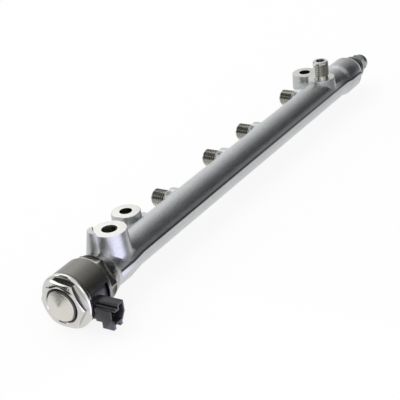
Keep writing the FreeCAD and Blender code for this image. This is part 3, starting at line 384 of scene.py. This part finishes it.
def turned(name, base, roughness, feed=0.25, depth=0.12, bump=0.25, from_map=False, speckle=0.1):
    """A machined metal. Its rings are centred on the rail's axis, or follow the piece's ring map."""
    made = skinned(name, base, roughness, mottle=0.12, bump=0.05, speckle=speckle)
    tree = made.node_tree
    shader = tree.nodes["Principled BSDF"]
    rings = node(tree, "ShaderNodeGroup")
    rings.node_tree = marks
    rings.inputs["Feed"].default_value = feed
    rings.inputs["Depth"].default_value = depth
    place = node(tree, "ShaderNodeTexCoord")
    if from_map:
        parts = node(tree, "ShaderNodeSeparateXYZ")
        link(tree, (place, "UV"), (parts, "Vector"))
        link(tree, (parts, "X"), (rings, "Radius"))
    else:
        across = node(tree, "ShaderNodeMapping",
                      Location=[0, -RAIL_AXIS.y * MM_PER_M, -RAIL_AXIS.z * MM_PER_M],
                      Scale=[0, MM_PER_M, MM_PER_M])
        length = node(tree, "ShaderNodeVectorMath")
        length.operation = "LENGTH"
        link(tree, (place, "Object"), (across, "Vector"))
        link(tree, (across, "Vector"), (length, 0))
        link(tree, (length, "Value"), (rings, "Radius"))
    skin_colour = shader.inputs["Base Color"].links[0].from_socket
    tint = node(tree, "ShaderNodeVectorMath")
    tint.operation = "SCALE"
    tree.links.new(skin_colour, tint.inputs[0])
    link(tree, (rings, "Shade"), (tint, "Scale"))
    link(tree, (tint, "Vector"), (shader, "Base Color"))
    relief = node(tree, "ShaderNodeBump", Strength=bump, Distance=RING_RELIEF)
    link(tree, (rings, "Height"), (relief, "Height"))
    tree.links.new(shader.inputs["Normal"].links[0].from_socket, relief.inputs["Normal"])
    link(tree, (relief, "Normal"), (shader, "Normal"))
    return made


# %% The finishes
FINISHES = {
    "forged_steel": skinned("forged_steel", colour(188, 190, 191), 0.34, mottle=0.2, bump=0.6, speckle=0.6),
    "turned_steel": turned("turned_steel", colour(148, 147, 144), 0.22),
    "hardened_steel": skinned("hardened_steel", colour(200, 200, 200), 0.15),
    "magnet_iron": turned("magnet_iron", colour(193, 190, 182), 0.22, feed=0.2, bump=1.0),
    "spring_steel": skinned("spring_steel", colour(150, 150, 150), 0.3),
    "shim_brass": skinned("shim_brass", colour(215, 185, 110), 0.3),
    "bright_steel": turned("bright_steel", colour(214, 211, 203), 0.26),
    "bright_plating": skinned("bright_plating", colour(206, 205, 201), 0.12, mottle=0.05, bump=0.05),
    "black_can": turned("black_can", colour(124, 122, 117), 0.3, depth=0.3, speckle=0.4),
    "bobbin_plastic": skinned("bobbin_plastic", colour(130, 130, 128), 0.5, metallic=0.0),
    "copper_wire": turned("copper_wire", colour(200, 120, 80), 0.35),
    "black_plastic": skinned("black_plastic", colour(32, 32, 36), 0.3, metallic=0.0, bump=0.3),
    "tinned_brass": skinned("tinned_brass", colour(215, 210, 196), 0.25),
    "seal_rubber": skinned("seal_rubber", colour(30, 30, 30), 0.6, metallic=0.0),
    "backup_plastic": skinned("backup_plastic", colour(235, 233, 225), 0.5, metallic=0.0),
    "plug_steel": skinned("plug_steel", colour(150, 153, 151), 0.24),
}
machined_steel = turned("machined_steel", colour(220, 220, 215), 0.3, feed=0.35, speckle=0.4, from_map=True)
thread_steel = skinned("thread_steel", colour(184, 183, 177), 0.2, mottle=0.3, cloud=400)
# Painted shade: the bores get a dark colour that stands in for the shade inside them.
bore_painted_shade = skinned("bore_painted_shade", colour(70, 68, 64), 0.4)
# Painted shade: darkens the upper edge of the trimmed land and the side of the button.
painted_shade_steel = skinned("painted_shade_steel", colour(112, 111, 108), 0.45)
for part in frame["record"]["subparts"]:
    piece = frame["nodes"][part["node"]]
    piece.data.materials.clear()
    piece.data.materials.append(FINISHES[part["material_slot"]])
print("finishes:", len(FINISHES) + 4)

# %% [markdown]
# The CAD forging has plain cylinders where the pipe threads are. On the real rail the thread is
# rolled into the steel, so the blank is thinner between the ridges. A copy of the forging is turned
# down to the thread's core here, and the ridges are modelled next as pieces of their own. Working on
# a copy keeps the CAD mesh as it was packed.


# %% A working copy of a CAD node
MERGE_DISTANCE = 0.001 * MM
RING_TOLERANCE = 0.02 * MM


def working_copy(name, node_name):
    """A merged copy of a CAD node's mesh, which takes the node's place and moves with the rail."""
    source = frame["nodes"][node_name]
    piece = bpy.data.objects.new(name, source.data.copy())
    bpy.context.collection.objects.link(piece)
    select_only(piece)
    bpy.ops.object.mode_set(mode="EDIT")
    bpy.ops.mesh.select_all(action="SELECT")
    bpy.ops.mesh.customdata_custom_splitnormals_clear()
    bpy.ops.mesh.remove_doubles(threshold=MERGE_DISTANCE)
    bpy.ops.object.mode_set(mode="OBJECT")
    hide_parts(node_name)
    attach(piece, "rail")
    return piece


def select_points(piece, test):
    """Selects the vertices that pass a test, opens edit mode and returns their number."""
    select_only(piece)
    bpy.ops.object.mode_set(mode="EDIT")
    bpy.ops.mesh.select_mode(type="VERT")
    bpy.ops.mesh.select_all(action="DESELECT")
    bpy.ops.object.mode_set(mode="OBJECT")
    count = 0
    for vertex in piece.data.vertices:
        vertex.select = test(vertex)
        count += vertex.select
    bpy.ops.object.mode_set(mode="EDIT")
    return count


def polar(point, centre, axis):
    """How far a point is along an axis from a centre, and how far from the axis."""
    along = (point - centre).dot(axis)
    return along, ((point - centre) - along * axis).length


def half_length(mount):
    """Half of a mount's length, in metres."""
    return mount["dims"]["length_mm"] * MM / 2


def resize_ring(piece, mount, new_radius):
    """Gives the cylinder that a mount describes a new radius."""
    centre, axis = Vector(mount["pos_m"]), Vector(mount["axis"])
    radius, half = mount["dims"]["r_mm"] * MM, half_length(mount)

    def on_cylinder(vertex):
        along, across = polar(vertex.co, centre, axis)
        return abs(along) < half + RING_TOLERANCE and abs(across - radius) < RING_TOLERANCE

    count = select_points(piece, on_cylinder)
    ratio = new_radius / radius
    factors = [1 if abs(part) > 0.5 else ratio for part in axis]
    bpy.ops.transform.resize(value=factors, center_override=centre)
    bpy.ops.object.mode_set(mode="OBJECT")
    print(mount["name"], "ring points:", count)


# %% Turn the forging down to the thread cores
UNIONS = [mounts[name] for name in ("outlet_1", "outlet_2", "outlet_3", "outlet_4", "inlet")]
PORT = mounts["return_port"]
CORE_RADIUS = 5.08 * MM
PORT_RADIUS = 5.0 * MM
forging = working_copy("forging", "rail_body")
for union in UNIONS:
    resize_ring(forging, union, CORE_RADIUS)
resize_ring(forging, PORT, PORT_RADIUS)

# %% Deepen the trimmed land
# Where the two halves of the die met, the flash was sheared off and left a flat upright land. The
# CAD model has it 1.2 mm high. On the real rail it reaches further down, into the lower half, and its
# upper edge slopes. That sloping edge is painted dark, a painted shade.
PARTING_HEIGHT = 2.3 * MM
FLASH_HALF = 0.6 * MM
LAND_DROP = 3.6 * MM
LAND_TAPER = 0.3 * MM
LAND_INSET = 11 * MM
LEDGE_DROP = 1.3 * MM
LEDGE_INSET = 10 * MM
TOUCH = 0.05 * MM
parting = RAIL_AXIS.z + PARTING_HEIGHT


def move_points(piece, chosen, step):
    """Moves the vertices with the given numbers by one step."""
    select_points(piece, lambda vertex: vertex.index in chosen)
    bpy.ops.transform.translate(value=step)
    bpy.ops.object.mode_set(mode="OBJECT")


# The level faces along the upper edge of the land are gathered here to get painted shade.
painted_shade_ledges = set()
for face in forging.data.polygons:
    level = face.normal.z > 0.95 and abs(face.center.z - parting - FLASH_HALF) < TOUCH
    if level and abs(face.center.y - RAIL_AXIS.y) > LEDGE_INSET:
        painted_shade_ledges.add(face.index)
for side in (-1, 1):
    upper_rim, lower_rim = set(), set()
    for face in forging.data.polygons:
        upright = abs(face.normal.z) < 0.01 and face.normal.y * side > 0.5
        outer = (face.center.y - RAIL_AXIS.y) * side > LAND_INSET
        heights = {index: forging.data.vertices[index].co.z - parting for index in face.vertices}
        furthest = max(abs(height) for height in heights.values())
        if upright and outer and furthest < FLASH_HALF + TOUCH:
            for index, height in heights.items():
                (upper_rim if height > 0 else lower_rim).add(index)
    move_points(forging, upper_rim, (0, 0, -LEDGE_DROP))
    move_points(forging, lower_rim, (0, -side * LAND_TAPER, -LAND_DROP))
    print("land points moved:", len(upper_rim), len(lower_rim))
select_only(forging)
bpy.ops.object.shade_smooth_by_angle(angle=math.radians(32))

# %% [markdown]
# Machined faces are found by their place and direction: the eyes, the spotface of the return port,
# the shoulders and tips of the unions, and the ring round the end plug. Each gets the machined
# material and a ring map, a UV map whose first value is the distance from that face's own centre.
# The turning marks read it, so every face has rings round its own hole.

# %% Machined faces and bores of the forging
TIP_CHAMFER = 1.0 * MM
NECK = 1.9 * MM
SEAT_RADIUS = 3.2 * MM
CREST_RADIUS = 6.0 * MM
PORT_CHAMFER = 0.5 * MM
WIDE_FACE = 11 * MM
TIP_FACE = 6 * MM
SHOULDER_FACE = 10.3 * MM
UP = Vector((0, 0, 1))
ALONG = Vector((1, 0, 0))
UNION_PLACES = [(Vector(union["pos_m"]), Vector(union["axis"]), half_length(union)) for union in UNIONS]
port_centre, port_half = Vector(PORT["pos_m"]), half_length(PORT)
rail_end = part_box("rail_body")[1].x

# A machined face is a point on it, its direction, and how far it reaches from the point.
faces = []
for name in ("near_eye", "far_eye"):
    foot, axis = Vector(mounts[name]["pos_m"]), Vector(mounts[name]["axis"])
    faces += [(foot, axis, WIDE_FACE), (foot + axis * 2 * half_length(mounts[name]), axis, WIDE_FACE)]
for centre, axis, half in UNION_PLACES:
    faces += [(centre + axis * (half + TIP_CHAMFER), axis, TIP_FACE),
              (centre - axis * (half + NECK), axis, SHOULDER_FACE)]
faces.append((port_centre + UP * (port_half + PORT_CHAMFER), UP, WIDE_FACE))
faces.append((Vector((rail_end, RAIL_AXIS.y, RAIL_AXIS.z)), ALONG, WIDE_FACE))

# A bore is its centre, its direction, how far it reaches each way, and a radius that just holds it.
EYE_MIDDLE = 6 * MM
EYE_REACH = 6.1 * MM
EYE_BORE = 4.4 * MM
CROSS_REACH = 30 * MM
UNION_BORE = 3.6 * MM
PORT_BORE = 5.1 * MM
MAIN_REACH = 1.0
MAIN_BORE = 9.8 * MM
BORES = [(Vector(mounts[name]["pos_m"]) + UP * EYE_MIDDLE, UP, EYE_REACH, EYE_BORE)
         for name in ("near_eye", "far_eye")]
BORES += [(centre, axis, CROSS_REACH, UNION_BORE) for centre, axis, half in UNION_PLACES]
BORES.append((port_centre, UP, CROSS_REACH, PORT_BORE))
BORES.append((RAIL_AXIS, ALONG, MAIN_REACH, MAIN_BORE))

for material in (FINISHES["forged_steel"], machined_steel, thread_steel, bore_painted_shade, painted_shade_steel):
    forging.data.materials.append(material)
forging.data.materials.pop(index=0)
SKIN, MACHINED, THREAD, BORE_PAINTED_SHADE, PAINTED_SHADE = range(5)
while forging.data.uv_layers:
    forging.data.uv_layers.remove(forging.data.uv_layers[0])
ring_map = forging.data.uv_layers.new(name="rings")
counts = [0] * len(forging.data.materials)
for face in forging.data.polygons:
    face.material_index = PAINTED_SHADE if face.index in painted_shade_ledges else SKIN
    for centre, axis, half in UNION_PLACES:
        along, across = polar(face.center, centre, axis)
        if across < CREST_RADIUS + TOUCH and along > -half - NECK - TOUCH:
            face.material_index = THREAD
    # Faces inside a bore, including the seat cones at the union tips, get the bore's painted shade.
    for centre, axis, reach, radius in BORES:
        along, across = polar(face.center, centre, axis)
        if abs(along) < reach and across < radius:
            face.material_index = BORE_PAINTED_SHADE
    for centre, axis, half in UNION_PLACES:
        along, across = polar(face.center, centre, axis)
        if SEAT_RADIUS < across < CREST_RADIUS + TOUCH and along > half:
            face.material_index = MACHINED
    for centre, axis, radius in faces:
        along, across = polar(face.center, centre, axis)
        if abs(face.normal.dot(axis)) > 0.99 and abs(along) < TOUCH and across < radius:
            face.material_index = MACHINED
            for corner in face.loop_indices:
                point = forging.data.vertices[forging.data.loops[corner].vertex_index].co
                ring_map.data[corner].uv = (polar(point, centre, axis)[1] * MM_PER_M, 0)
    counts[face.material_index] += 1
print("forging faces: skin, machined, thread, bore, shaded:", counts)

# %% [markdown]
# A screw thread is one ridge wound round a core. Its section is a trapezoid: 60 to 70 degrees between
# the flanks, nine tenths of the pitch wide at the foot, and an eighth of the pitch left flat at the
# crest. The Screw modifier winds the section, the two open ends are filled, and the ridge is then
# turned down to the blank, so it runs out cleanly at the relief groove and under the chamfer at the
# tip, as a rolled thread does. Its foot is sunk a little into the blank, so no gap shows.


# %% One thread ridge
SEGMENTS = 48
BASE_SHARE = 0.9


def thread_ridge(name, pitch, root, crest, length):
    """A helical ridge about Z, centred on the origin, with closed ends."""
    bpy.ops.object.select_all(action="DESELECT")
    bpy.ops.mesh.primitive_plane_add(size=1)
    ridge = bpy.context.object
    ridge.name = name
    base, flat = pitch * BASE_SHARE, pitch / 8
    section = [(root, -base / 2), (crest, -flat / 2), (root, base / 2), (crest, flat / 2)]
    for vertex, (across, height) in zip(ridge.data.vertices, section):
        vertex.co = (across, 0, height - length / 2)
    bpy.ops.object.mode_set(mode="EDIT")
    bpy.ops.mesh.select_all(action="SELECT")
    bpy.ops.mesh.delete(type="ONLY_FACE")
    bpy.ops.object.mode_set(mode="OBJECT")
    winding = ridge.modifiers.new("winding", "SCREW")
    winding.axis = "Z"
    winding.angle = 2 * math.pi * length / pitch
    winding.screw_offset = length
    winding.steps = round(SEGMENTS * length / pitch)
    winding.render_steps = winding.steps
    bpy.ops.object.modifier_apply(modifier=winding.name)
    bpy.ops.object.mode_set(mode="EDIT")
    bpy.ops.mesh.select_all(action="SELECT")
    bpy.ops.mesh.fill_holes(sides=4)
    bpy.ops.mesh.select_all(action="SELECT")
    bpy.ops.mesh.normals_make_consistent(inside=False)
    bpy.ops.object.mode_set(mode="OBJECT")
    return ridge


def turn_down(ridge, limit, inside=False):
    """Moves what stands over the blank's radius back to it; inside, what stands under it."""
    for vertex in ridge.data.vertices:
        across = math.hypot(vertex.co.x, vertex.co.y)
        allowed = limit(vertex.co.z)
        if (across < allowed) if inside else (across > allowed):
            vertex.co.x *= allowed / across
            vertex.co.y *= allowed / across


def put_thread(ridge, name, mount, material):
    """A copy of a ridge on a mount, with its place in its mesh."""
    piece = ridge.copy()
    piece.data = ridge.data.copy()
    piece.name = name
    bpy.context.collection.objects.link(piece)
    turn = Vector((0, 0, 1)).rotation_difference(Vector(mount["axis"])).to_matrix().to_4x4()
    piece.matrix_world = Matrix.Translation(mount["pos_m"]) @ turn
    select_only(piece)
    bpy.ops.object.transform_apply(location=True, rotation=True, scale=True)
    bpy.ops.object.shade_smooth_by_angle(angle=math.radians(25))
    piece.data.materials.clear()
    piece.data.materials.append(material)
    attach(piece, "rail")
    print(name, "faces:", len(piece.data.polygons))


# %% The five pipe threads, M12 with a 1.5 mm pitch
UNION_PITCH = 1.5 * MM
UNION_SUNK = 0.08 * MM


def union_ridge(union):
    """The ridge of one union, turned down to its tip chamfer and to its run-out."""
    half = half_length(union)
    length = 2 * (half + TIP_CHAMFER) - UNION_PITCH * BASE_SHARE
    ridge = thread_ridge("union_ridge", UNION_PITCH, CORE_RADIUS - UNION_SUNK, CREST_RADIUS, length)
    turn_down(ridge, lambda height: CREST_RADIUS - max(0, height - half, -height - half))
    return ridge


for group in (UNIONS[:4], UNIONS[4:]):
    ridge = union_ridge(group[0])
    for union in group:
        put_thread(ridge, "thread_" + union["name"], union, thread_steel)
    bpy.data.objects.remove(ridge)

# %% The return port's thread, M10 with a 1 mm pitch
PORT_PITCH = 1.0 * MM
PORT_SUNK = 0.06 * MM
port_crest = PORT["dims"]["r_mm"] * MM
ridge = thread_ridge("port_ridge", PORT_PITCH, PORT_RADIUS + PORT_SUNK, port_crest, 2 * port_half)
turn_down(ridge, lambda height: port_crest + max(0, height - port_half + PORT_CHAMFER), inside=True)
# The port's thread sits inside the bore, so it gets the bore's painted shade.
put_thread(ridge, "thread_return_port", PORT, bore_painted_shade)
bpy.data.objects.remove(ridge)

# %% [markdown]
# No real edge is perfectly sharp, and a sharp one catches no light. The nut, the valve body, the
# connector and the end plug are shown as copies whose edges are broken by a small bevel. Coplanar
# triangles are dissolved first, because a bevel follows the real edges only on clean faces.


# %% Copies with broken edges
WIDE_EDGE = 0.25 * MM
FINE_EDGE = 0.2 * MM


def broken_edges(name, node_name, width, angle=30):
    """A copy of a node with a two-step bevel on every edge that turns by more than an angle."""
    piece = working_copy(name, node_name)
    bpy.ops.object.mode_set(mode="EDIT")
    bpy.ops.mesh.select_all(action="SELECT")
    bpy.ops.mesh.dissolve_limited(angle_limit=math.radians(0.5))
    bpy.ops.object.mode_set(mode="OBJECT")
    bevel = piece.modifiers.new("broken_edges", "BEVEL")
    bevel.width = width
    bevel.segments = 2
    bevel.limit_method = "ANGLE"
    bevel.angle_limit = math.radians(angle)
    bpy.ops.object.modifier_apply(modifier=bevel.name)
    bpy.ops.object.shade_smooth_by_angle(angle=math.radians(angle))
    print(name, "faces:", len(piece.data.polygons))


broken_edges("nut", "retaining_nut", WIDE_EDGE)
broken_edges("hexagon_body", "valve_body", WIDE_EDGE)
broken_edges("connector", "connector_housing", FINE_EDGE)
broken_edges("closing_plug", "end_plug", FINE_EDGE)

# %% The button in the nut
# The face of the pole core is turned bright. Its side is painted dark, a painted shade that shows as a
# crescent beside it.
button = working_copy("button", "pole_core")
select_only(button)
bpy.ops.object.shade_smooth_by_angle(angle=math.radians(30))
button.data.materials.append(painted_shade_steel)
for face in button.data.polygons:
    if face.normal.x > -0.7:
        face.material_index = 1
print("dark button faces:", sum(face.material_index for face in button.data.polygons))
